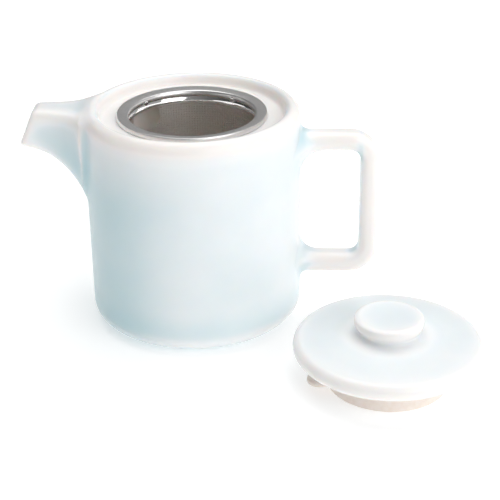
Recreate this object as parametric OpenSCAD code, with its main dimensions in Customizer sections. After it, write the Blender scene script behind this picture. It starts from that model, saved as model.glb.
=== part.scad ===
// Porcelain teapot with a drop-in steel infuser basket and a lid that lies beside it.
// Millimetres, +Z up. The origin is the centre of the pot's foot, on the table.
// +X points to the handle and -X to the spout.

/* [Pot] */
// Outer diameter of the pot's body
body_d = 106; // [102:1:110]
// Height of the rim above the table
rim_h = 110.9; // [107:0.1:116]
// Thickness of the body's wall and floor
wall = 4.5; // [3.8:0.1:5.2]
// Rounding of the shoulder, outside the rim
shoulder_r = 5.8; // [5:0.1:6.5]
// Rounding of the body into its base
base_r = 8.4; // [6:0.1:10]
// Rounding of the rim's inner edge
rim_in_r = 1.6; // [1.2:0.1:2]
// Depth of the recess that holds the lid and the basket's flange
recess_depth = 4.7; // [4:0.1:5.5]
// Thickness of the ledge round the mouth
ledge_t = 4.3; // [3.8:0.1:4.5]
// Diameter of the pot's mouth
mouth_d = 66; // [65:0.5:67]
// Outer diameter of the foot ring
foot_d = 86; // [80:1:88]
// Width of the foot ring
foot_w = 6; // [4:0.5:8]
// Height of the foot ring
foot_h = 1.5; // [1:0.1:2]

/* [Spout] */
// Reach of the spout's lower lip from the pot's axis
spout_reach = 84.5; // [82:0.5:88]
// Height of the spout's top above the table
spout_top = 110.3; // [108:0.1:110.9]
// Height that the spout's underside levels out at
spout_low = 92.5; // [90:0.5:93]
// Drop of the underside from there to where it leaves the body
spout_drop = 25; // [22:0.5:27]
// Half width of the spout at its tip
spout_tip_w = 8.2; // [7.5:0.1:9]
// What the half width gains where it flows into the body
spout_flare = 12.4; // [11:0.1:13]
// Wall of the spout
spout_wall = 3; // [2.6:0.1:3.4]
// Lean of the cut at the tip, in mm of reach per mm of height
tip_lean = 0.43; // [0.35:0.01:0.5]

/* [Handle] */
// Distance from the pot's axis to the middle of the upright bar
grip_x = 86.6; // [84:0.1:90]
// Height of the middle of the top bar
grip_top_z = 93.3; // [91:0.1:95]
// Height of the middle of the bottom bar
grip_low_z = 27.7; // [26:0.1:32]
// Radius of the handle's corners, along the middle of the bar
grip_corner_r = 9.6; // [8:0.1:11]
// Half thickness of the bar, seen from the side
grip_half_t = 4.8; // [4.5:0.1:5.2]
// Half width of the bar, seen from behind
grip_half_w = 5.8; // [5.2:0.1:6.4]

/* [Infuser] */
// Outer diameter of the flange
flange_d = 73.6; // [72:0.1:75]
// Height of the flange's flat face above the ledge that it rests on
flange_rise = 1.6; // [1.5:0.1:1.8]
// Inner diameter of the neck and the collar
neck_d = 61.6; // [61:0.1:61.8]
// Thickness of the steel sheet
sheet = 0.5; // [0.4:0.05:0.5]
// Depth of the basket below the flange's flat face
basket_depth = 72; // [60:1:85]
// Width of the oblong hole in the wall that the lid's lug goes through
lug_hole_w = 21; // [19:0.5:23]
// Height of that hole
lug_hole_h = 12.6; // [11:0.1:13]
// Direction of that hole round the basket, in degrees from the handle
lug_hole_turn = 145; // [135:1:155]

/* [Lid] */
// Diameter of the lid
lid_d = 89; // [87:0.5:90]
// Rounding of the lid's edge
lid_edge_r = 4.2; // [3.8:0.1:4.6]
// Height of the lid's crown above the middle of its edge
crown_rise = 6.9; // [6:0.1:8]
// Outer diameter of the skirt
skirt_d = 57.6; // [56:0.2:58]
// Height of the skirt
skirt_h = 14.5; // [13:0.1:16]
// Wall of the skirt
skirt_wall = 4.3; // [3.6:0.1:5]
// Diameter of the knob
knob_d = 32.6; // [31:0.2:35]
// Thickness of the knob
knob_t = 6.2; // [5.6:0.1:7]
// Diameter of the knob's neck
knob_neck_d = 22; // [19:0.5:24]
// Gap between the crown and the knob's underside
knob_gap = 3.2; // [2.6:0.1:4]
// Reach of the lug from the lid's axis
lug_reach = 39.5; // [36:0.1:40.5]
// Width of the lug
lug_w = 11; // [9:0.5:12]
// Direction of the lug, in degrees from the handle
lug_turn = -162; // [-170:1:-150]
// Distance of the lid's axis from the pot's axis along X, while it lies on the table
lid_x = 94.4; // [90:0.1:105]
// The same along Y
lid_y = -70.6; // [-85:0.1:-66]

/* [Hidden] */
$fn = 96;

porcelain = "azure";
body_r = body_d / 2;
rim_peak_r = body_r - shoulder_r;
recess_r = rim_peak_r - rim_in_r;
ledge_z = rim_h - recess_depth;
hollow_r = body_r - wall;
hollow_top = ledge_z - ledge_t;
hollow_low_r = base_r - 1;
hollow_top_r = 4;
floor_z = foot_h + wall;
// Oblong hole in the wall behind the spout
inlet_r = 8;
inlet_low_z = 84;
inlet_top_z = 92;

// The spout starts inside the shoulder, so that the cut leaves it the shape of the body
spout_root = rim_peak_r;
spout_fall = 11.5;
spout_flare_fall = 9.6;
// Power of the sines that square off the spout's section
spout_square = 0.56;
spout_rings = 22;
spout_sides = 36;

grip_root = body_r - 3;
grip_sides = 24;
grip_flare = 5;
grip_flare_fall = 3.5;

clearance = 0.1;
flange_top = ledge_z + flange_rise;
flange_r = flange_d / 2;
neck_r = neck_d / 2;
bend_r = 2 * sheet;
mesh_t = 0.3;
mesh_r = neck_r + sheet;
mesh_out_r = mesh_r + mesh_t;
collar_r = mesh_out_r + sheet;
neck_end = flange_top - 2.4;
band_top = flange_top - 3.7;
band_end = flange_top - 6.2;
// How far the collar's inner band leans in towards its lower edge
collar_lean = 0.5;
basket_z = flange_top - basket_depth;
ring_h = 3;
lug_hole_z = flange_top - 11.5;
lug_hole_shift = (lug_hole_w - lug_hole_h) / 2;
seam_w = 5;
seam_turn = -70;
weld_count = 12;
weld_r = 1.2;
weld_proud = 0.15;

lid_r = lid_d / 2;
lid_mid_z = skirt_h + lid_edge_r;
edge_x = lid_r - lid_edge_r;
crown_z = lid_mid_z + crown_rise;
// Radius of the crown's arc, which runs into the rounded edge without a corner
crown_r = (pow(edge_x, 2) + pow(crown_rise, 2) - pow(lid_edge_r, 2)) / (2 * (crown_rise - lid_edge_r));
crown_end_x = edge_x * crown_r / (crown_r - lid_edge_r);
skirt_r = skirt_d / 2;
skirt_in_r = skirt_r - skirt_wall;
lid_hollow_z = crown_z - 6.5;
knob_z = crown_z + knob_gap;
knob_edge_r = knob_t / 2 - 0.1;
neck_fillet = 2.2;
lug_low = 4.4;
lug_t = 3.5;

function flatten(lists) = [for (list = lists) each list];
function signed_pow(v, p) = sign(v) * pow(abs(v), p);

// Half section of a disc from z0 to z1, with its lower and upper outer corners rounded
module half_slab(r, z0, z1, low_r, top_r) {
    translate([0, z0])
        square([r - low_r, z1 - z0 - top_r]);
    translate([0, z0 + low_r])
        square([r, z1 - z0 - low_r - top_r]);
    translate([0, z1 - 2 * top_r])
        square([r - top_r, 2 * top_r]);
    translate([r - low_r, z0 + low_r])
        circle(low_r);
    translate([r - top_r, z1 - top_r])
        circle(top_r);
}

// Solid between rings of points that all have the same number of points
module loft(rings) {
    n = len(rings[0]);
    last = len(rings) - 1;
    sides = [
        for (i = [0:last - 1], j = [0:n - 1])
            let (a = i * n + j, b = i * n + (j + 1) % n)
                each [[a, b, b + n], [a, b + n, a + n]]
    ];
    caps = [[for (j = [n - 1:-1:0]) j], [for (j = [0:n - 1]) last * n + j]];
    polyhedron(points = flatten(rings), faces = concat(sides, caps), convexity = 6);
}

module body_blank() {
    rotate_extrude()
        half_slab(body_r, foot_h, rim_h, base_r, shoulder_r);
}

module pot_section() {
    difference() {
        union() {
            half_slab(body_r, foot_h, rim_h, base_r, shoulder_r);
            translate([foot_d / 2 - foot_w, 0])
                square([foot_w, foot_h + 1]);
        }
        translate([0, ledge_z])
            square([rim_peak_r, 2 * recess_depth]);
        translate([0, hollow_top - 1])
            square([mouth_d / 2, 2 * ledge_t]);
        half_slab(hollow_r, floor_z, hollow_top, hollow_low_r, hollow_top_r);
    }
    translate([recess_r, ledge_z - 1])
        square([rim_in_r, recess_depth + 1 - rim_in_r]);
    translate([rim_peak_r, rim_h - rim_in_r])
        circle(rim_in_r);
}

module pot_body() {
    color(porcelain)
        difference() {
            rotate_extrude()
                pot_section();
            for (z = [inlet_low_z, inlet_top_z])
                translate([-body_r - 5, 0, z])
                    rotate([0, 90, 0])
                        cylinder(r = inlet_r, h = wall + 10);
            translate([-body_r - 5, -inlet_r, inlet_low_z])
                cube([wall + 10, 2 * inlet_r, inlet_top_z - inlet_low_z]);
        }
}

// Underside and half width of the spout, at a distance u out from the body
function spout_floor(u) = spout_low - spout_drop * exp(-max(u, 0) / spout_fall);
function spout_half_w(u) = spout_tip_w + spout_flare * exp(-max(u, 0) / spout_flare_fall);

// One ring of the spout: a rounded box, narrower below, that leans more towards the tip
function spout_ring(x, inset) =
    let (
        u = x - body_r,
        lean = tip_lean * max(u, 0) / (spout_reach - body_r),
        steep = (spout_low - spout_floor(u)) / spout_fall,
        low = spout_floor(u) + inset * norm([1, steep]),
        high = spout_top - inset,
        half_w = spout_half_w(u) - inset
    )
    [
        for (i = [0:spout_sides - 1])
            let (
                a = 360 * i / spout_sides,
                s = signed_pow(sin(a), spout_square),
                z = (high + low) / 2 + s * (high - low) / 2
            )
            [
                -x + lean * (z - spout_low),
                half_w * (0.86 + 0.14 * s) * signed_pow(cos(a), spout_square),
                z
            ]
    ];

module spout() {
    length = spout_reach - spout_root;
    color(porcelain)
        difference() {
            loft([for (i = [0:spout_rings]) spout_ring(spout_root + length * i / spout_rings, 0)]);
            loft([for (i = [-1:spout_rings + 1]) spout_ring(spout_root + length * i / spout_rings, spout_wall)]);
            body_blank();
        }
}

// One ring of the handle: a rounded box across the bar's path, thicker where it meets the body
function grip_ring(x, z, turn) =
    let (
        flare = grip_flare * exp(-max(x - body_r, 0) / grip_flare_fall),
        shift = (z > (grip_top_z + grip_low_z) / 2 ? -1 : 1) * flare / 2
    )
    [
        for (i = [0:grip_sides - 1])
            let (
                a = 360 * i / grip_sides,
                across = (grip_half_t + flare) * signed_pow(cos(a), 0.7),
                along_y = (grip_half_w + flare / 2) * signed_pow(sin(a), 0.7)
            )
            [x + across * sin(turn), along_y, z + shift + across * cos(turn)]
    ];

module handle() {
    corner_x = grip_x - grip_corner_r;
    bar_steps = 9;
    corner_steps = 7;
    bar_xs = [for (i = [0:bar_steps - 1]) grip_root + (corner_x - grip_root) * i / bar_steps];
    top_bar = [for (x = bar_xs) grip_ring(x, grip_top_z, 0)];
    top_corner = [
        for (i = [0:corner_steps])
            let (a = 90 * i / corner_steps)
                grip_ring(
                    corner_x + grip_corner_r * sin(a),
                    grip_top_z - grip_corner_r * (1 - cos(a)),
                    a
                )
    ];
    low_corner = [
        for (i = [0:corner_steps])
            let (a = 90 * i / corner_steps)
                grip_ring(
                    corner_x + grip_corner_r * cos(a),
                    grip_low_z + grip_corner_r * (1 - sin(a)),
                    90 + a
                )
    ];
    low_bar = [for (i = [bar_steps - 1:-1:0]) grip_ring(bar_xs[i], grip_low_z, 180)];
    color(porcelain)
        difference() {
            loft(concat(top_bar, top_corner, low_corner, low_bar));
            body_blank();
        }
}

// Section of a ring of sheet between two radii and two heights
module band(r0, r1, z0, z1) {
    translate([r0, z0])
        square([r1 - r0, z1 - z0]);
}

// Quarter of a bend in the sheet: side 1 bends the outer edge down, side -1 the inner edge
module sheet_bend(x, side) {
    translate([x, flange_top - bend_r])
        intersection() {
            difference() {
                circle(bend_r);
                circle(bend_r - sheet);
            }
            translate([side > 0 ? 0 : -bend_r, 0])
                square(bend_r);
        }
}

module infuser_flange() {
    in_x = neck_r + bend_r;
    out_x = flange_r - bend_r;
    color("darkgray")
        rotate_extrude() {
            band(in_x, out_x, flange_top - sheet, flange_top);
            sheet_bend(in_x, -1);
            sheet_bend(out_x, 1);
            band(neck_r, neck_r + sheet, neck_end, flange_top - bend_r);
            band(flange_r - sheet, flange_r, ledge_z + clearance, flange_top - bend_r);
        }
}

// Folded strip that holds the neck above and grips the wall's top edge below
module infuser_collar() {
    color("silver")
        rotate_extrude() {
            band(neck_r + sheet, collar_r, band_top, flange_top - bend_r);
            band(neck_r, collar_r, band_top - sheet, band_top);
            polygon([
                [neck_r, band_top],
                [neck_r - collar_lean, band_end],
                [mesh_r, band_end],
                [mesh_r, band_top]
            ]);
            band(mesh_out_r, collar_r, band_end, band_top);
        }
}

module collar_spot_welds() {
    color("gray")
        difference() {
            for (i = [0:weld_count - 1])
                rotate([0, 0, 360 * i / weld_count])
                    translate([mesh_r, 0, (band_end + band_top) / 2])
                        rotate([0, 90, 0])
                            cylinder(r = weld_r, h = collar_r + weld_proud - mesh_r);
            translate([0, 0, band_end - 1])
                cylinder(r = collar_r, h = 10, $fn = 720);
        }
}

module mesh_wall() {
    low_z = basket_z + sheet;
    color("dimgray")
        difference() {
            rotate_extrude()
                band(mesh_r, mesh_out_r, low_z, band_top - sheet);
            rotate([0, 0, lug_hole_turn])
                translate([neck_r - 10, 0, lug_hole_z]) {
                    for (y = [-lug_hole_shift, lug_hole_shift])
                        translate([0, y, 0])
                            rotate([0, 90, 0])
                                cylinder(d = lug_hole_h, h = 15);
                    translate([0, -lug_hole_shift, -lug_hole_h / 2])
                        cube([15, 2 * lug_hole_shift, lug_hole_h]);
                }
        }
}

// Overlap of the rolled wall's two edges, welded outside
module mesh_wall_seam() {
    low_z = basket_z + ring_h;
    color("gray")
        intersection() {
            rotate_extrude()
                band(mesh_out_r, mesh_out_r + mesh_t, low_z, band_end);
            rotate([0, 0, seam_turn])
                translate([neck_r - 5, -seam_w / 2, low_z])
                    cube([10, seam_w, band_end - low_z]);
        }
}

module base_ring() {
    color("silver")
        rotate_extrude() {
            band(mesh_r - 2, collar_r, basket_z, basket_z + sheet);
            band(mesh_out_r, collar_r, basket_z, basket_z + ring_h);
        }
}

module base_mesh() {
    color("dimgray")
        translate([0, 0, basket_z + sheet])
            cylinder(r = mesh_r, h = mesh_t);
}

module at_lid() {
    translate([lid_x, lid_y, 0])
        children();
}

module crown_blank() {
    intersection() {
        translate([0, crown_z - crown_r])
            circle(crown_r, $fn = 360);
        translate([0, skirt_h])
            square([crown_end_x, 2 * crown_rise + lid_edge_r]);
    }
}

module lid_disc() {
    color(porcelain)
        at_lid()
            rotate_extrude()
                difference() {
                    union() {
                        crown_blank();
                        translate([edge_x, lid_mid_z])
                            circle(lid_edge_r);
                    }
                    translate([0, skirt_h - 1])
                        square([skirt_in_r, lid_hollow_z - skirt_h + 1]);
                }
}

module lid_skirt() {
    lip_r = 1;
    color("linen")
        at_lid()
            rotate_extrude() {
                band(skirt_in_r, skirt_r, lip_r, skirt_h);
                band(skirt_in_r + lip_r, skirt_r - lip_r, 0, skirt_h);
                for (x = [skirt_in_r + lip_r, skirt_r - lip_r])
                    translate([x, lip_r])
                        circle(lip_r);
            }
}

// Tongue on the skirt that holds the lid in while the pot is tipped
module lid_lug() {
    color("linen")
        at_lid()
            difference() {
                rotate([0, 0, lug_turn])
                    translate([0, 0, lug_low])
                        linear_extrude(lug_t) {
                            translate([0, -lug_w / 2])
                                square([lug_reach - lug_w / 2, lug_w]);
                            translate([lug_reach - lug_w / 2, 0])
                                circle(d = lug_w);
                        }
                cylinder(r = skirt_r, h = skirt_h);
            }
}

module lid_knob() {
    neck_x = knob_neck_d / 2;
    color(porcelain)
        at_lid()
            rotate_extrude()
                difference() {
                    union() {
                        half_slab(knob_d / 2, knob_z, knob_z + knob_t, knob_edge_r, knob_edge_r);
                        translate([0, lid_mid_z])
                            square([neck_x, knob_z - lid_mid_z + 1]);
                        difference() {
                            translate([0, lid_mid_z])
                                square([neck_x + neck_fillet, crown_z + neck_fillet - lid_mid_z]);
                            translate([neck_x + neck_fillet, crown_z + neck_fillet])
                                circle(neck_fillet);
                        }
                    }
                    crown_blank();
                }
}

pot_body();
spout();
handle();
infuser_flange();
infuser_collar();
collar_spot_welds();
mesh_wall();
mesh_wall_seam();
base_ring();
base_mesh();
lid_disc();
lid_skirt();
lid_lug();
lid_knob();
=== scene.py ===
"""Looks of a porcelain teapot with a steel infuser basket and a loose lid.

Shapes are worked out in millimetres in the frame's axes and scaled to metres when a mesh is made.
Porcelain is a distance field, so that its parts flow into each other as cast and glazed clay does.
Steel is turned from outlines, and the basket's mesh is a real lattice of square holes.
"""

import math

import bmesh
import bpy
import numpy as np
from mathutils import Matrix, Vector


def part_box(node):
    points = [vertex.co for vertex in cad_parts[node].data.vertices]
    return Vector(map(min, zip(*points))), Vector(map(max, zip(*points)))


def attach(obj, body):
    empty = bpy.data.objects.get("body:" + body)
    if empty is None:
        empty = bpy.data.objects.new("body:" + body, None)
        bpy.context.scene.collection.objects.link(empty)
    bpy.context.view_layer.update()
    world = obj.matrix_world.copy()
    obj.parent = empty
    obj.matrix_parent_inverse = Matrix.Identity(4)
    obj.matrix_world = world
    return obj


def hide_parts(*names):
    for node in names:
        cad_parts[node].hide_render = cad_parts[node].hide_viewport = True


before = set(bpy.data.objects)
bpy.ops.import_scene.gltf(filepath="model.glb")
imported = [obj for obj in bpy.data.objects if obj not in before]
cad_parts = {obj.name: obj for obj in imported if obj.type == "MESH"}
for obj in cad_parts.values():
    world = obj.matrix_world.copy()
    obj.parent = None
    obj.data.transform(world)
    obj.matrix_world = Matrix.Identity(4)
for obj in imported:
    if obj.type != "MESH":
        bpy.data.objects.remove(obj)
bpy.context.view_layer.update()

MM = 0.001


# ---------------------------------------------------------------- sizes, in millimetres

def box_mm(node):
    """Lowest and highest corner of a CAD node in millimetres."""
    low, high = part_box(node)
    return np.array(low) / MM, np.array(high) / MM


_, pot_high = box_mm("pot_body")
_, spout_high = box_mm("spout")
_, handle_high = box_mm("handle")
flange_low, flange_high = box_mm("infuser_flange")
collar_low, collar_high = box_mm("infuser_collar")
wall_low, wall_high = box_mm("mesh_wall")
ring_low, ring_high = box_mm("base_ring")
base_low, base_high = box_mm("base_mesh")
disc_low, disc_high = box_mm("lid_disc")
skirt_low, skirt_high = box_mm("lid_skirt")
knob_low, knob_high = box_mm("lid_knob")
lug_low, lug_high = box_mm("lid_lug")

# Pot
BODY_R = pot_high[0]
RIM_Z = pot_high[2]
WALL = 4.5
SHOULDER_R = 5.8
BASE_R = 8.4
FOOT_R = 43.0
FOOT_W = 6.0
FOOT_H = 1.5
RECESS_R = 45.6
LEDGE_Z = flange_low[2] - 0.1
LEDGE_T = 4.3
MOUTH_R = 33.0
INLET_R = 8.0
INLET_LOW_Z = 84.0
INLET_TOP_Z = 92.0

# Spout
SPOUT_REACH = 84.5
SPOUT_TOP = spout_high[2]
SPOUT_LOW = 92.5
SPOUT_DROP = 25.0
SPOUT_FALL = 11.5
SPOUT_TIP_W = 8.4
SPOUT_FLARE = 12.4
SPOUT_FLARE_FALL = 9.8
SPOUT_WALL = 3.0
TIP_LEAN = 0.43
SPOUT_FILLET_LOW = 3.0
SPOUT_FILLET_TOP = 5.0
SECTION_POWER = 4.2  # 2 is an ellipse, and a higher power is squarer
SPOUT_KEYSTONE = 0.14  # how much narrower the spout is below than above

# Handle
GRIP_X = 86.9
GRIP_TOP_Z = 93.3
GRIP_LOW_Z = 27.7
GRIP_CORNER_R = 9.8
GRIP_HALF_T = 4.4
GRIP_TOP_T = 4.65
GRIP_LOW_T = 5.1
GRIP_HALF_W = 5.8
GRIP_ROUND = 4.1
GRIP_FILLET = 4.6
GRIP_FILLET_TOP = 9.5  # added inside the loop, under the top bar
GRIP_FILLET_LOW = 6  # added inside the loop, over the low bar

# Infuser
FLANGE_TOP = flange_high[2]
FLANGE_R = flange_high[0]
NECK_R = 30.8
SHEET = 0.5
COLLAR_R = collar_high[0]
BAND_TOP = collar_high[2] - 2.7
BAND_END = collar_low[2]
MESH_T = 0.3
MESH_R = wall_high[0] - MESH_T
LUG_HOLE_R = 6.3
LUG_HOLE_SHIFT = 4.2
LUG_HOLE_TURN = math.radians(145)
LUG_HOLE_Z = FLANGE_TOP - 11.5
MESH_PITCH = 1.35
MESH_BAR = 0.5

# Lid
LID_X = (disc_low[0] + disc_high[0]) / 2
LID_Y = (disc_low[1] + disc_high[1]) / 2
LID_R = (disc_high[0] - disc_low[0]) / 2
LID_EDGE_R = 4.2
SKIRT_H = disc_low[2]
SKIRT_R = (skirt_high[0] - skirt_low[0]) / 2
SKIRT_WALL = 4.3
CROWN_Z = disc_high[2]
KNOB_R = (knob_high[0] - knob_low[0]) / 2
KNOB_TOP = knob_high[2]
KNOB_T = 6.2
KNOB_NECK_R = 14.0
KNOB_EDGE_R = 2.9
DISH_R = 110.0
DISH_DEPTH = 0.6
HOLLOW_BELOW_CROWN = 6.5
LUG_REACH = 39.5
LUG_W = 11.0
LUG_TURN = math.radians(-162)

# How much glaze has flowed to each place on the lid, where 1 is the deepest colour; on the pot the
# same values are painted shade, a bluer and darker colour at the base, on the spout's side and on
# the handle's inner face
BASE_PAINTED_SHADE = 0.26
SPOUT_SIDE_PAINTED_SHADE = 0.36
GRIP_INNER_PAINTED_SHADE = 0.4
LID_RUN = -0.06
KNOB_NECK_RUN = -0.15
LID_POOLING = 0.35

# Camera: places in metres and lens in millimetres
CAMERA_PLACE = (0.05326, -0.60877, 0.33546)
CAMERA_TARGET = (0.0275, 0.0, 0.0325)
CAMERA_ROLL = math.radians(-0.67)
CAMERA_LENS = 95.97
STAGE_HALF = 3.0


# ---------------------------------------------------------------- distance fields

def join(a, b, k):
    """Union of two fields with a fillet about 0.85 k in radius."""
    h = np.maximum(k - np.abs(a - b), 0) / k
    return np.minimum(a, b) - h * h * k / 4


def keep(a, b, k):
    """What is in both fields, with the edge between them rounded."""
    return -join(-a, -b, k)


def carve(a, b, k):
    """Field a without field b, with the edge rounded."""
    return keep(a, -b, k)


def slab(r, z, radius, low, high, low_round, high_round):
    """Disc from low to high with rounded outer corners, as a field of r and z."""
    middle = (low + high) / 2
    corner = np.where(z < middle, low_round, high_round)
    across = r - radius + corner
    along = np.abs(z - middle) - (high - low) / 2 + corner
    outside = np.hypot(np.maximum(across, 0), np.maximum(along, 0))
    return np.minimum(np.maximum(across, along), 0) + outside - corner


def bar(across, along, half_a, half_b, corner):
    """Rounded rectangle of half sizes half_a and half_b, as a field of two distances."""
    qa = np.abs(across) - half_a + corner
    qb = np.abs(along) - half_b + corner
    outside = np.hypot(np.maximum(qa, 0), np.maximum(qb, 0))
    return np.minimum(np.maximum(qa, qb), 0) + outside - corner


def smooth_step(v, low, high):
    t = np.clip((v - low) / (high - low), 0, 1)
    return t * t * (3 - 2 * t)


def spout_tube(x, y, z, inset):
    """The spout's tapering tube, smaller by inset all round."""
    out = -x - BODY_R
    length = SPOUT_REACH - BODY_R
    u = np.clip(out / (1 - TIP_LEAN / length * (z - SPOUT_LOW)), 0, length)
    sag = SPOUT_DROP * np.exp(-u / SPOUT_FALL)
    low = SPOUT_LOW - sag + inset * np.hypot(1, sag / SPOUT_FALL)
    high = SPOUT_TOP - inset
    half_h = (high - low) / 2
    rise = (z - (high + low) / 2) / half_h
    half_w = SPOUT_TIP_W + SPOUT_FLARE * np.exp(-u / SPOUT_FLARE_FALL) - inset
    half_w = half_w * (1 - SPOUT_KEYSTONE + SPOUT_KEYSTONE * np.clip(rise, -1, 1))
    a = np.abs(y) / half_w + 1e-6
    b = np.abs(rise) + 1e-6
    n = SECTION_POWER
    q = (a ** n + b ** n) ** (1 / n)
    steep = np.hypot((a / q) ** (n - 1) / half_w, (b / q) ** (n - 1) / half_h)
    under = smooth_step(-rise, 0, 1) * sag / SPOUT_FALL
    return (q - 1) / steep / np.hypot(1, under)


def spout_solid(x, y, z):
    tube = spout_tube(x, y, z, 0)
    reach = SPOUT_REACH - TIP_LEAN * (z - SPOUT_LOW)
    tip = (-x - reach) / math.hypot(1, TIP_LEAN)
    return np.maximum(keep(tube, tip, 2.4), x + BODY_R - WALL - 1)


def handle_solid(x, y, z):
    middle = (GRIP_TOP_Z + GRIP_LOW_Z) / 2
    half = (GRIP_TOP_Z - GRIP_LOW_Z) / 2
    qx = x - GRIP_X + GRIP_CORNER_R
    qz = np.abs(z - middle) - half + GRIP_CORNER_R
    outside = np.hypot(np.maximum(qx, 0), np.maximum(qz, 0))
    path = np.minimum(np.maximum(qx, qz), 0) + outside - GRIP_CORNER_R
    level = np.abs(z - middle) / (half - GRIP_CORNER_R)
    ends = np.where(z > middle, GRIP_TOP_T, GRIP_LOW_T)
    half_t = GRIP_HALF_T + (ends - GRIP_HALF_T) * smooth_step(level, 0.9, 1.4)
    loop = bar(path, y, half_t, GRIP_HALF_W, GRIP_ROUND)
    return np.maximum(loop, BODY_R - WALL / 2 - x)


def handle_fillet(z):
    """Fillets are larger inside the handle's loop than outside it."""
    middle = (GRIP_TOP_Z + GRIP_LOW_Z) / 2
    half = (GRIP_TOP_Z - GRIP_LOW_Z) / 2
    inside = smooth_step(half - np.abs(z - middle), -4, 4)
    return GRIP_FILLET + inside * np.where(z > middle, GRIP_FILLET_TOP, GRIP_FILLET_LOW)


def pot_outside(x, y, z):
    """The pot with its spout and handle, as if it were solid."""
    r = np.hypot(x, y)
    solid = slab(r, z, BODY_R, FOOT_H, RIM_Z, BASE_R, SHOULDER_R)
    fillet = SPOUT_FILLET_LOW + (SPOUT_FILLET_TOP - SPOUT_FILLET_LOW) * smooth_step(z, 66, 88)
    solid = join(solid, spout_solid(x, y, z), fillet)
    solid = join(solid, handle_solid(x, y, z), handle_fillet(z))
    foot = bar(r - FOOT_R + FOOT_W / 2, z - FOOT_H, FOOT_W / 2, FOOT_H, 0.8)
    return join(solid, foot, 0.8)


def pot_painted_shade(x, y, z):
    """Painted shade in the glaze colour: bluer and darker at the base, on the spout's side and on
    the inner face of the handle's upright bar.
    """
    # Each term is painted shade: the down-facing base, the side away from the light, and the
    # handle's left-facing inner face.
    base = 1 - smooth_step(z, 2, 26)
    side = smooth_step(-x, -10, BODY_R) * (1 - smooth_step(z, 72, 108))
    inner = smooth_step(GRIP_X - x, 1, 4) * (1 - smooth_step(GRIP_X - x, 5, 9))
    inner = inner * smooth_step(z, GRIP_LOW_Z + 6, GRIP_LOW_Z + 16)
    return BASE_PAINTED_SHADE * base + SPOUT_SIDE_PAINTED_SHADE * side + GRIP_INNER_PAINTED_SHADE * inner


def lid_run(x, y, z):
    """A little less glaze than on the pot, and least round the knob's neck."""
    r = np.hypot(x - LID_X, y - LID_Y)
    neck = (1 - smooth_step(r, 17, 25)) * smooth_step(KNOB_TOP - 1.5 - z, 0, 3)
    return LID_RUN + KNOB_NECK_RUN * neck


def pot_field(x, y, z):
    r = np.hypot(x, y)
    solid = pot_outside(x, y, z)
    solid = carve(solid, slab(r, z, RECESS_R, LEDGE_Z, 2 * RIM_Z, 2.4, 1), 4.0)
    solid = carve(solid, slab(r, z, MOUTH_R, LEDGE_Z - 20, 2 * RIM_Z, 1, 1), 1.4)
    hollow = slab(r, z, BODY_R - WALL, FOOT_H + WALL, LEDGE_Z - LEDGE_T, BASE_R - 1, 4)
    solid = carve(solid, hollow, 1.4)
    channel = np.maximum(spout_tube(x, y, z, SPOUT_WALL), x + BODY_R + 0.5)
    solid = carve(solid, channel, 1.6)
    inlet = np.hypot(y, z - np.clip(z, INLET_LOW_Z, INLET_TOP_Z)) - INLET_R
    inlet = np.maximum(inlet, np.abs(x + BODY_R - WALL / 2) - WALL)
    return carve(solid, inlet, 1.0)


crown_rise = CROWN_Z - SKIRT_H - LID_EDGE_R
edge_x = LID_R - LID_EDGE_R
edge_z = SKIRT_H + LID_EDGE_R
crown_r = (edge_x ** 2 + crown_rise ** 2 - LID_EDGE_R ** 2) / (2 * (crown_rise - LID_EDGE_R))


def lid_outside(x, y, z):
    """The lid's disc and knob, without the hollow underneath."""
    r = np.hypot(x - LID_X, y - LID_Y)
    centre_z = CROWN_Z - crown_r
    crown = np.maximum(np.hypot(r, z - centre_z) - crown_r, SKIRT_H - z)
    edge = np.hypot(r - edge_x, z - edge_z) - LID_EDGE_R
    past = np.where(z > edge_z, r / (z - centre_z) > edge_x / (edge_z - centre_z), r > edge_x)
    disc = np.where(past, edge, crown)
    neck = np.maximum(r - KNOB_NECK_R, np.abs(z - CROWN_Z) - 6)
    knob = slab(r, z, KNOB_R, KNOB_TOP - KNOB_T, KNOB_TOP, KNOB_EDGE_R, KNOB_EDGE_R)
    dish = np.hypot(r, z - KNOB_TOP - DISH_R) - DISH_R - DISH_DEPTH
    solid = join(disc, neck, 4.5)
    return join(solid, carve(knob, dish, 3.0), 3.0)


def lid_field(x, y, z):
    r = np.hypot(x - LID_X, y - LID_Y)
    hollow = slab(r, z, SKIRT_R - SKIRT_WALL, 0, CROWN_Z - HOLLOW_BELOW_CROWN, 2, 2)
    return carve(lid_outside(x, y, z), hollow, 1)


def skirt_field(x, y, z):
    px, py = x - LID_X, y - LID_Y
    r = np.hypot(px, py)
    half_h = (SKIRT_H + 0.3) / 2
    ring = bar(r - SKIRT_R + SKIRT_WALL / 2, z - half_h, SKIRT_WALL / 2, half_h, 1.1)
    along = px * math.cos(LUG_TURN) + py * math.sin(LUG_TURN)
    across = -px * math.sin(LUG_TURN) + py * math.cos(LUG_TURN)
    tip = LUG_REACH - LUG_W / 2
    plan = np.hypot(across, along - np.clip(along, SKIRT_R - 3, tip)) - LUG_W / 2
    middle = (lug_low[2] + lug_high[2]) / 2
    half_t = (lug_high[2] - lug_low[2]) / 2
    lug = bar(np.maximum(plan + 4, 0), z - middle, 4, half_t, 1.6)
    lug = np.maximum(lug, SKIRT_R - SKIRT_WALL / 2 - r)
    return join(ring, lug, 2.4)


# ---------------------------------------------------------------- meshes from fields

POOL_REACHES = (1.5, 4.0, 9.0)
CORNERS = [(a, b, c) for a in (0, 1) for b in (0, 1) for c in (0, 1)]


def gradient(field, points, reach):
    """Slope of the field at each point, from differences over twice the reach."""
    slopes = []
    for axis in range(3):
        ahead = points.copy()
        behind = points.copy()
        ahead[:, axis] += reach
        behind[:, axis] -= reach
        slopes.append((field(*ahead.T) - field(*behind.T)) / (2 * reach))
    return np.stack(slopes, 1)


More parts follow.
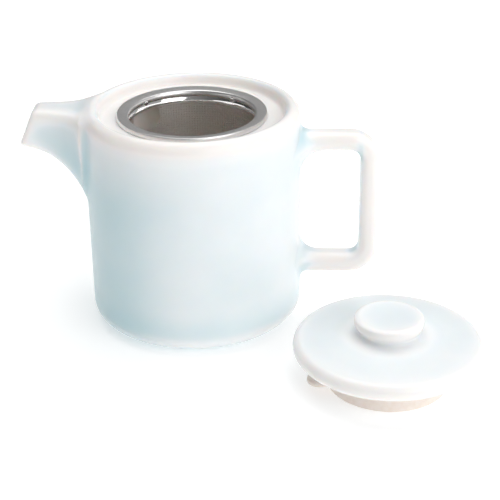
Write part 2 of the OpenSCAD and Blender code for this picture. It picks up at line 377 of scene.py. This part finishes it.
def snap(field, points):
    """Moves the points straight on to the field's zero surface."""
    for _ in range(3):
        slope = gradient(field, points, 0.02)
        length = np.maximum((slope ** 2).sum(1), 0.05)
        shift = slope * (field(*points.T) / length)[:, None]
        points = points - np.clip(shift, -0.8, 0.8)
    return points


def relax(points, quads):
    """Moves each point half way to the mean of its neighbours."""
    total = np.zeros_like(points)
    count = np.zeros(len(points))
    for side in range(4):
        a = quads[:, side]
        b = quads[:, (side + 1) % 4]
        for here, there in ((a, b), (b, a)):
            count += np.bincount(here, minlength=len(points))
            for axis in range(3):
                pull = points[there, axis]
                total[:, axis] += np.bincount(here, weights=pull, minlength=len(points))
    return points * 0.5 + total / count[:, None] * 0.5


def field_mesh(field, low, high, step):
    """Even quads over the zero surface of a field, found on a grid and then moved on to it."""
    axes = [np.arange(a - 2 * step, b + 3 * step, step) for a, b in zip(low, high)]
    grid = np.meshgrid(*axes, indexing="ij")
    values = field(*grid).astype(np.float64)
    shape = np.array(values.shape)
    inside = values < 0
    count = sum(
        inside[a:shape[0] - 1 + a, b:shape[1] - 1 + b, c:shape[2] - 1 + c].astype(np.int8)
        for a, b, c in CORNERS
    )
    cells = np.argwhere((count > 0) & (count < 8))
    number = np.full(shape - 1, -1)
    number[tuple(cells.T)] = np.arange(len(cells))
    total = np.zeros((len(cells), 3))
    crossings = np.zeros(len(cells))
    for start in CORNERS:
        for axis in range(3):
            if start[axis]:
                continue
            first = cells + start
            second = first.copy()
            second[:, axis] += 1
            v0 = values[tuple(first.T)]
            v1 = values[tuple(second.T)]
            cut = (v0 < 0) != (v1 < 0)
            t = np.where(cut, v0 / np.where(cut, v0 - v1, 1), 0)
            place = first.astype(float)
            place[:, axis] += t
            total += place * cut[:, None]
            crossings += cut
    points = total / crossings[:, None] * step + [a[0] for a in axes]
    quads = []
    for axis in range(3):
        one, two = np.eye(3, dtype=int)[[(axis + 1) % 3, (axis + 2) % 3]]
        ahead = np.moveaxis(inside, axis, 0)[1:]
        behind = np.moveaxis(inside, axis, 0)[:-1]
        edges = np.argwhere(np.moveaxis(ahead != behind, 0, axis))
        around = [number[tuple((edges - offset).T)] for offset in (0 * one, one, one + two, two)]
        faces = np.stack(around, 1)
        outward = inside[tuple(edges.T)]
        quads.append(np.where(outward[:, None], faces, faces[:, ::-1]))
    quads = np.concatenate(quads)
    for _ in range(3):
        points = snap(field, relax(points, quads))
    return points, quads


def new_object(name, points, faces):
    mesh = bpy.data.meshes.new(name)
    mesh.from_pydata((np.asarray(points) * MM).tolist(), [], [list(f) for f in faces])
    mesh.update()
    piece = bpy.data.objects.new(name, mesh)
    bpy.context.scene.collection.objects.link(piece)
    return piece


def porcelain_piece(name, field, outside, low, high, step, glaze_run_and_shade=None, pooling=1.0):
    """Field mesh with exact normals, and a value at each point that says how thick the glaze lies,
    with painted shade added to it on the pot.
    Glaze runs off convex edges and into hollows of the outside field, and is thin inside it.
    The given function adds what has flowed elsewhere on the lid, and painted shade (a bluer, darker
    colour) on the pot, and pooling scales how much the bends count."""
    points, quads = field_mesh(field, np.array(low), np.array(high), step)
    piece = new_object(name, points, quads.tolist())
    slope = gradient(field, points, 0.05)
    normals = slope / np.maximum(np.linalg.norm(slope, axis=1), 1e-6)[:, None]
    piece.data.shade_smooth()
    piece.data.normals_split_custom_set_from_vertices(normals.tolist())
    least = np.eye(3)[np.abs(normals).argmin(1)]
    first = np.cross(normals, least)
    first /= np.linalg.norm(first, axis=1)[:, None]
    second = np.cross(normals, first)
    level = outside(*points.T)
    bend = np.zeros(len(points))
    for reach in POOL_REACHES:
        for turn in np.arange(6) * math.pi / 3:
            around = points + reach * (math.cos(turn) * first + math.sin(turn) * second)
            bend += (outside(*around.T) - level) / reach / 6
    pool_and_shade = 0.5 - pooling * bend * np.where(bend > 0, 0.9, 0.5)
    pool_and_shade -= 0.45 * smooth_step(-level, 0.8, 2.0)
    # This adds glaze that has flowed on the lid, and on the pot painted shade, a bluer and darker
    # colour.
    if glaze_run_and_shade:
        pool_and_shade += glaze_run_and_shade(*points.T) * smooth_step(level, -2.0, -0.8)
    values = piece.data.attributes.new("pool_and_shade", "FLOAT", "POINT")
    values.data.foreach_set("value", np.clip(pool_and_shade, 0, 1).astype(np.float32))
    return piece


# ---------------------------------------------------------------- turned and pressed steel

def arc(x, z, radius, start, end, steps):
    """Points of an arc in the r-z plane, with its angles in degrees."""
    turns = np.radians(np.linspace(start, end, steps + 1))
    return [(x + radius * math.cos(t), z + radius * math.sin(t)) for t in turns]


def roll(x, z, across, down, start, end, steps):
    """Points of part of an ellipse, for a sheet that is rolled over more steeply than a circle."""
    turns = np.radians(np.linspace(start, end, steps + 1))
    return [(x + across * math.cos(t), z + down * math.sin(t)) for t in turns]


def lathe(name, outline, sides=240):
    """Turns a closed outline of (r, z) points about Z. It runs clockwise with +r to the right."""
    n = len(outline)
    turns = np.arange(sides) * 2 * math.pi / sides
    points = [(r * math.cos(t), r * math.sin(t), z) for t in turns for r, z in outline]
    faces = []
    for i in range(sides):
        here, there = i * n, (i + 1) % sides * n
        faces += [(here + j, there + j, there + (j + 1) % n, here + (j + 1) % n) for j in range(n)]
    piece = new_object(name, points, faces)
    piece.data.shade_smooth()
    piece.data.set_sharp_from_angle(angle=math.radians(35))
    return piece


def lattice(name, columns, rows, place, drop, pull, wrap):
    """Sheet of square holes. place turns column and row numbers into a point, drop says which cells
    are left out, and pull moves the corners that a cut-out or an edge passes through."""
    bar_share = MESH_BAR / MESH_PITCH / 2
    kept = [(i, j) for i in range(columns) for j in range(rows) if not drop(i + 0.5, j + 0.5)]
    index = {}
    points = []

    def corner(i, j):
        key = (i % columns if wrap else i, j)
        if key not in index:
            index[key] = len(points)
            points.append(place(*pull(i, j)))
        return index[key]

    faces = []
    for i, j in kept:
        around = ((i, j), (i + 1, j), (i + 1, j + 1), (i, j + 1))
        outer = [corner(a, b) for a, b in around]
        pulled = [np.array(pull(a, b)) for a, b in around]
        middle = sum(pulled) / 4
        inner = []
        for p in pulled:
            inner.append(len(points))
            points.append(place(*(middle + (p - middle) * (1 - 2 * bar_share))))
        for k in range(4):
            faces.append((outer[k], outer[(k + 1) % 4], inner[(k + 1) % 4], inner[k]))
    piece = new_object(name, points, faces)
    thick = piece.modifiers.new("thickness", "SOLIDIFY")
    thick.thickness = MESH_T * MM
    thick.offset = 0
    return piece


# ---------------------------------------------------------------- materials

class Nodes:
    """Short ways to build a node material."""

    def __init__(self, name):
        self.material = bpy.data.materials.new(name)
        self.material.use_nodes = True
        self.tree = self.material.node_tree
        self.shader = self.tree.nodes["Principled BSDF"]

    def add(self, kind, **values):
        node = self.tree.nodes.new(kind)
        for key, value in values.items():
            if hasattr(node, key) and key not in node.inputs:
                setattr(node, key, value)
            else:
                node.inputs[key].default_value = value
        return node

    def link(self, source, target):
        self.tree.links.new(source, target)

    def set(self, **values):
        for key, value in values.items():
            self.shader.inputs[key.replace("_", " ")].default_value = value

    def object_point(self, scale=(1, 1, 1)):
        place = self.add("ShaderNodeTexCoord").outputs["Object"]
        mapping = self.add("ShaderNodeMapping")
        mapping.inputs["Scale"].default_value = scale
        self.link(place, mapping.inputs["Vector"])
        return mapping.outputs["Vector"]

    def noise(self, scale, detail, vector):
        node = self.add("ShaderNodeTexNoise", Scale=scale, Detail=detail)
        self.link(vector, node.inputs["Vector"])
        return node.outputs["Fac"]

    def math(self, operation, a, b, clamp=False):
        node = self.add("ShaderNodeMath", operation=operation, use_clamp=clamp)
        for socket, value in zip(node.inputs, (a, b)):
            if isinstance(value, (int, float)):
                socket.default_value = value
            else:
                self.link(value, socket)
        return node.outputs[0]

    def ramp(self, value, stops):
        node = self.add("ShaderNodeValToRGB")
        ramp = node.color_ramp
        while len(ramp.elements) < len(stops):
            ramp.elements.new(0.5)
        for element, (place, colour) in zip(ramp.elements, stops):
            element.position = place
            element.color = (*colour, 1)
        self.link(value, node.inputs["Fac"])
        return node.outputs["Color"]

    def bump(self, height, strength, distance):
        node = self.add("ShaderNodeBump", Strength=strength, Distance=distance)
        self.link(height, node.inputs["Height"])
        self.link(node.outputs["Normal"], self.shader.inputs["Normal"])


def glaze_material():
    """Celadon glaze: blue where it pools in hollows, warm white where it thins over edges, and
    bluer and darker where painted shade is added to the same value on the pot.
    """
    m = Nodes("celadon_glaze")
    pool_and_shade = m.add("ShaderNodeAttribute", attribute_name="pool_and_shade").outputs["Fac"]
    cloud = m.noise(26, 3, m.object_point())
    drift = m.noise(9, 2, m.object_point((1, 1, 0.5)))
    mixed = m.math("ADD", pool_and_shade, m.math("MULTIPLY", m.math("SUBTRACT", cloud, 0.5), 0.22))
    shift = m.math("MULTIPLY", m.math("SUBTRACT", drift, 0.5), 0.25)
    mixed = m.math("ADD", mixed, shift, clamp=True)
    # The bluer, darker end of this ramp also shows the painted shade added on the pot.
    colour = m.ramp(mixed, [
        (0.0, (0.92, 0.885, 0.86)),
        (0.2, (0.915, 0.90, 0.89)),
        (0.4, (0.87, 0.90, 0.915)),
        (0.52, (0.77, 0.84, 0.865)),
        (0.75, (0.60, 0.76, 0.80)),
        (1.0, (0.47, 0.69, 0.75)),
    ])
    m.link(colour, m.shader.inputs["Base Color"])
    ripple = m.noise(160, 2, m.object_point())
    m.bump(ripple, 0.06, 0.0004)
    m.set(Roughness=0.26, IOR=1.42, Subsurface_Weight=0.4)
    m.set(Subsurface_Radius=(0.005, 0.0036, 0.0028), Subsurface_Scale=1.0)
    return m.material


def skirt_shade_material():
    """Skirt porcelain in a warmer, darker colour that is painted shade of the glaze under the lid's
    disc, and smoother than paper.
    """
    m = Nodes("bare_porcelain")
    speck = m.noise(420, 4, m.object_point())
    # Painted shade: the warm, darker tan stands for the glaze in shadow under the disc; the specks
    # vary it at random.
    colour = m.ramp(speck, [(0.3, (0.86, 0.76, 0.68)), (0.7, (0.90, 0.82, 0.76))])
    m.link(colour, m.shader.inputs["Base Color"])
    m.bump(speck, 0.08, 0.0002)
    m.set(Roughness=0.38, Subsurface_Weight=0.2)
    m.set(Subsurface_Radius=(0.003, 0.002, 0.0015), Subsurface_Scale=1.0)
    return m.material


def steel_material(name, dark, light, roughness, grain_scale):
    """Stainless steel with fine grain in its colour and roughness."""
    m = Nodes(name)
    grain = m.noise(grain_scale, 5, m.object_point())
    m.link(m.ramp(grain, [(0.3, dark), (0.7, light)]), m.shader.inputs["Base Color"])
    rough = m.add("ShaderNodeMapRange")
    rough.inputs["To Min"].default_value = roughness * 0.85
    rough.inputs["To Max"].default_value = roughness * 1.15
    m.link(grain, rough.inputs["Value"])
    m.link(rough.outputs["Result"], m.shader.inputs["Roughness"])
    m.set(Metallic=1.0)
    return m.material


def stage_material(name, colour, glow):
    m = Nodes(name)
    m.set(Base_Color=(*colour, 1), Roughness=0.9, Specular_IOR_Level=0.0)
    m.set(Emission_Color=(1, 1, 1, 1), Emission_Strength=glow)
    return m.material


def dress(piece, material, body, slot, *nodes):
    piece.data.materials.clear()
    piece.data.materials.append(material)
    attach(piece, body)
    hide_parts(*nodes)


# ---------------------------------------------------------------- the pieces

glaze = glaze_material()
skirt_shade = skirt_shade_material()
satin = steel_material("satin_steel", (0.72, 0.71, 0.705), (0.78, 0.77, 0.76), 0.36, 900)
polished = steel_material("polished_steel", (0.86, 0.85, 0.84), (0.9, 0.89, 0.88), 0.1, 600)
etched = steel_material("mesh_steel", (0.86, 0.84, 0.82), (0.93, 0.91, 0.89), 0.42, 700)

pot = porcelain_piece(
    "pot_porcelain",
    pot_field,
    pot_outside,
    (-SPOUT_REACH - 1, -BODY_R, 0),
    (handle_high[0] + 1, BODY_R, RIM_Z),
    1.2,
    pot_painted_shade,
)
dress(pot, glaze, "pot", "celadon_glaze", "pot_body", "spout", "handle")

lid_step = 0.8
lid = porcelain_piece(
    "lid_porcelain",
    lid_field,
    lid_outside,
    (LID_X - LID_R, LID_Y - LID_R, SKIRT_H),
    (LID_X + LID_R, LID_Y + LID_R, KNOB_TOP),
    lid_step,
    lid_run,
    LID_POOLING,
)
dress(lid, glaze, "lid", "celadon_glaze", "lid_disc", "lid_knob")

skirt = porcelain_piece(
    "lid_skirt_and_lug",
    skirt_field,
    skirt_field,
    (LID_X - LUG_REACH, LID_Y - SKIRT_R - 8, 0),
    (LID_X + SKIRT_R, LID_Y + SKIRT_R + 8, SKIRT_H),
    lid_step,
)
# The skirt and lug carry the painted shade of the glaze under the disc.
dress(skirt, skirt_shade, "lid", "bare_porcelain", "lid_skirt", "lid_lug")

inner_bend = 2 * SHEET
edge_bend = 0.6
roll_down = 2.0
lip_down = FLANGE_TOP - flange_low[2] - SHEET / 2
flange_dip = 0.6
neck_end = FLANGE_TOP - 2.8
inner_roll_z = FLANGE_TOP - flange_dip - roll_down
outer_roll_z = FLANGE_TOP - lip_down
flange_outline = (
    roll(NECK_R + inner_bend, inner_roll_z, inner_bend, roll_down, 180, 90, 10)
    + roll(FLANGE_R - edge_bend, outer_roll_z, edge_bend, lip_down, 90, 0, 10)
    + arc(FLANGE_R - SHEET / 2, outer_roll_z, SHEET / 2, 0, -180, 6)
    + roll(FLANGE_R - edge_bend, outer_roll_z, edge_bend - SHEET, lip_down - SHEET, 0, 90, 8)
    + roll(NECK_R + inner_bend, inner_roll_z, inner_bend - SHEET, roll_down - SHEET, 90, 180, 8)
    + [(NECK_R + SHEET, neck_end), (NECK_R, neck_end)]
)
flange = lathe("infuser_flange_pressed", flange_outline)
dress(flange, satin, "infuser", "satin_steel", "infuser_flange")

band_in_top = NECK_R + 0.3
band_in_end = NECK_R - 0.6
collar_start = FLANGE_TOP - inner_bend
collar_outline = (
    [(NECK_R + SHEET, collar_start), (NECK_R + SHEET, BAND_TOP)]
    + [(band_in_top + 0.15, BAND_TOP), (band_in_top, BAND_TOP - 0.15)]
    + arc(band_in_end + 0.2, BAND_END + 0.2, 0.2, 180, 270, 4)
    + [(MESH_R, BAND_END), (MESH_R, BAND_TOP - SHEET), (MESH_R + MESH_T, BAND_TOP - SHEET)]
    + [(MESH_R + MESH_T, BAND_END), (COLLAR_R, BAND_END), (COLLAR_R, collar_start)]
)
collar = lathe("infuser_collar_folded", collar_outline)
dress(collar, polished, "infuser", "polished_steel", "infuser_collar")

# Stakes pressed in across the groove, where the neck is fixed to the collar
stake_points = []
stake_faces = []
stake_turns = np.radians([54, 142, 230, 318])
stake_half = np.array([0.6, 1.7, 1.5])
stake_z = (neck_end + BAND_TOP) / 2
for turn in stake_turns:
    ball = bmesh.new()
    bmesh.ops.create_icosphere(ball, subdivisions=3, radius=1)
    first = len(stake_points)
    out = np.array([math.cos(turn), math.sin(turn), 0])
    along = np.array([-math.sin(turn), math.cos(turn), 0])
    centre = out * (NECK_R + 0.35) + np.array([0, 0, stake_z])
    for v in ball.verts:
        across, side, up = np.array(v.co) * stake_half
        stake_points.append(centre + out * across + along * side + np.array([0, 0, up]))
    stake_faces += [[first + v.index for v in f.verts] for f in ball.faces]
    ball.free()
stakes = new_object("collar_stakes", stake_points, stake_faces)
stakes.data.shade_smooth()
stakes.data.materials.append(polished)
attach(stakes, "infuser")

ring_edge_r = 0.6
ring_in_r = MESH_R - 2
ring_floor = ring_low[2] + SHEET
ring_outline = (
    arc(COLLAR_R - ring_edge_r, ring_low[2] + ring_edge_r, ring_edge_r, -90, 0, 5)
    + [(COLLAR_R, ring_high[2]), (MESH_R + MESH_T, ring_high[2])]
    + [(MESH_R + MESH_T, ring_floor), (ring_in_r, ring_floor), (ring_in_r, ring_low[2])]
)
base_ring = lathe("base_ring_rolled", ring_outline[::-1])
dress(base_ring, polished, "infuser", "polished_steel", "base_ring")

middle_r = MESH_R + MESH_T / 2
columns = round(2 * math.pi * middle_r / MESH_PITCH)
rows = round((wall_high[2] - wall_low[2]) / MESH_PITCH)
column_step = 2 * math.pi / columns
row_step = (wall_high[2] - wall_low[2]) / rows


def from_hole(i, j):
    """Distances along and up the sheet from the lug hole's middle line to a lattice point."""
    turn = (i * column_step - LUG_HOLE_TURN + math.pi) % (2 * math.pi) - math.pi
    along = turn * middle_r
    along -= max(-LUG_HOLE_SHIFT, min(LUG_HOLE_SHIFT, along))
    return along, wall_low[2] + j * row_step - LUG_HOLE_Z


def wall_drop(i, j):
    return math.hypot(*from_hole(i, j)) < LUG_HOLE_R


def wall_pull(i, j):
    along, up = from_hole(i, j)
    reach = math.hypot(along, up)
    if not 0 < reach < LUG_HOLE_R:
        return i, j
    push = LUG_HOLE_R / reach - 1
    return i + along * push / middle_r / column_step, j + up * push / row_step


def wall_place(i, j):
    turn = i * column_step
    return middle_r * math.cos(turn), middle_r * math.sin(turn), wall_low[2] + j * row_step


mesh_wall = lattice("mesh_wall_etched", columns, rows, wall_place, wall_drop, wall_pull, True)
dress(mesh_wall, etched, "infuser", "mesh_steel", "mesh_wall")

base_r = MESH_R - 0.1
base_count = round(2 * base_r / MESH_PITCH)
base_middle = base_count / 2
base_z = (base_low[2] + base_high[2]) / 2


def base_offset(i, j):
    return (i - base_middle) * MESH_PITCH, (j - base_middle) * MESH_PITCH


def base_drop(i, j):
    return math.hypot(*base_offset(i, j)) > base_r - MESH_PITCH * 0.4


def base_pull(i, j):
    reach = math.hypot(*base_offset(i, j))
    if reach < base_r - MESH_PITCH * 0.5:
        return i, j
    scale = base_r / reach
    return base_middle + (i - base_middle) * scale, base_middle + (j - base_middle) * scale


def base_place(i, j):
    x, y = base_offset(i, j)
    return x, y, base_z


base_mesh = lattice(
    "base_mesh_etched", base_count, base_count, base_place, base_drop, base_pull, False
)
dress(base_mesh, etched, "infuser", "mesh_steel", "base_mesh")

for node, material in (("mesh_wall_seam", etched), ("collar_spot_welds", polished)):
    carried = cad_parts[node]
    carried.data.materials.clear()
    carried.data.materials.append(material)


# ---------------------------------------------------------------- stage, light and camera

def look(item, place, target, roll=0.0):
    """Stands an object at a place, with its -Z axis towards the target, rolled about that axis."""
    place, target = Vector(place), Vector(target)
    facing = (target - place).to_track_quat("-Z", "Y").to_matrix().to_4x4()
    item.matrix_world = Matrix.Translation(place) @ facing @ Matrix.Rotation(roll, 4, "Z")


def soft_light(name, place, target, size, power):
    data = bpy.data.lights.new(name, "AREA")
    data.shape = "RECTANGLE"
    data.size, data.size_y = size
    data.energy = power
    light = bpy.data.objects.new(name, data)
    bpy.context.scene.collection.objects.link(light)
    look(light, place, target)


floor_half = STAGE_HALF / MM
corner_signs = ((-1, -1), (1, -1), (1, 1), (-1, 1))
floor_corners = [(a * floor_half, b * floor_half, 0) for a, b in corner_signs]
floor = new_object("stage_floor", floor_corners, [(0, 1, 2, 3)])
floor.data.materials.append(stage_material("stage_white", (0.75, 0.75, 0.75), 0.42))

world = bpy.data.worlds.new("studio")
bpy.context.scene.world = world
world.use_nodes = True
background = world.node_tree.nodes["Background"]
background.inputs["Color"].default_value = (1, 1, 1, 1)
sky_place = world.node_tree.nodes.new("ShaderNodeTexCoord")
sky_split = world.node_tree.nodes.new("ShaderNodeSeparateXYZ")
sky_side = world.node_tree.nodes.new("ShaderNodeMapRange")
sky_side.inputs["From Min"].default_value = -1.0
sky_side.inputs["To Min"].default_value = 0.02
sky_side.inputs["To Max"].default_value = 0.38
world.node_tree.links.new(sky_place.outputs["Generated"], sky_split.inputs["Vector"])
world.node_tree.links.new(sky_split.outputs["X"], sky_side.inputs["Value"])
world.node_tree.links.new(sky_side.outputs["Result"], background.inputs["Strength"])

look_at = (0, 0, 0.06)
soft_light("key_right", (0.95, -1.1, 0.8), look_at, (1.2, 1.0), 11.5)
soft_light("strip_right", (1.3, -0.1, 0.4), look_at, (1.8, 0.25), 1.55)
soft_light("strip_left", (-1.3, -0.45, 0.38), look_at, (2.0, 0.22), 1.5)
soft_light("top", (0, 0.4, 1.7), (0, 0.2, 0), (1.8, 1.6), 24)

camera_data = bpy.data.cameras.new("camera")
camera_data.sensor_width = 36
camera_data.lens = CAMERA_LENS
camera_data.clip_end = 20
camera = bpy.data.objects.new("camera", camera_data)
bpy.context.scene.collection.objects.link(camera)
look(camera, CAMERA_PLACE, CAMERA_TARGET, CAMERA_ROLL)
bpy.context.scene.camera = camera
bpy.context.scene.view_settings.view_transform = "Standard"
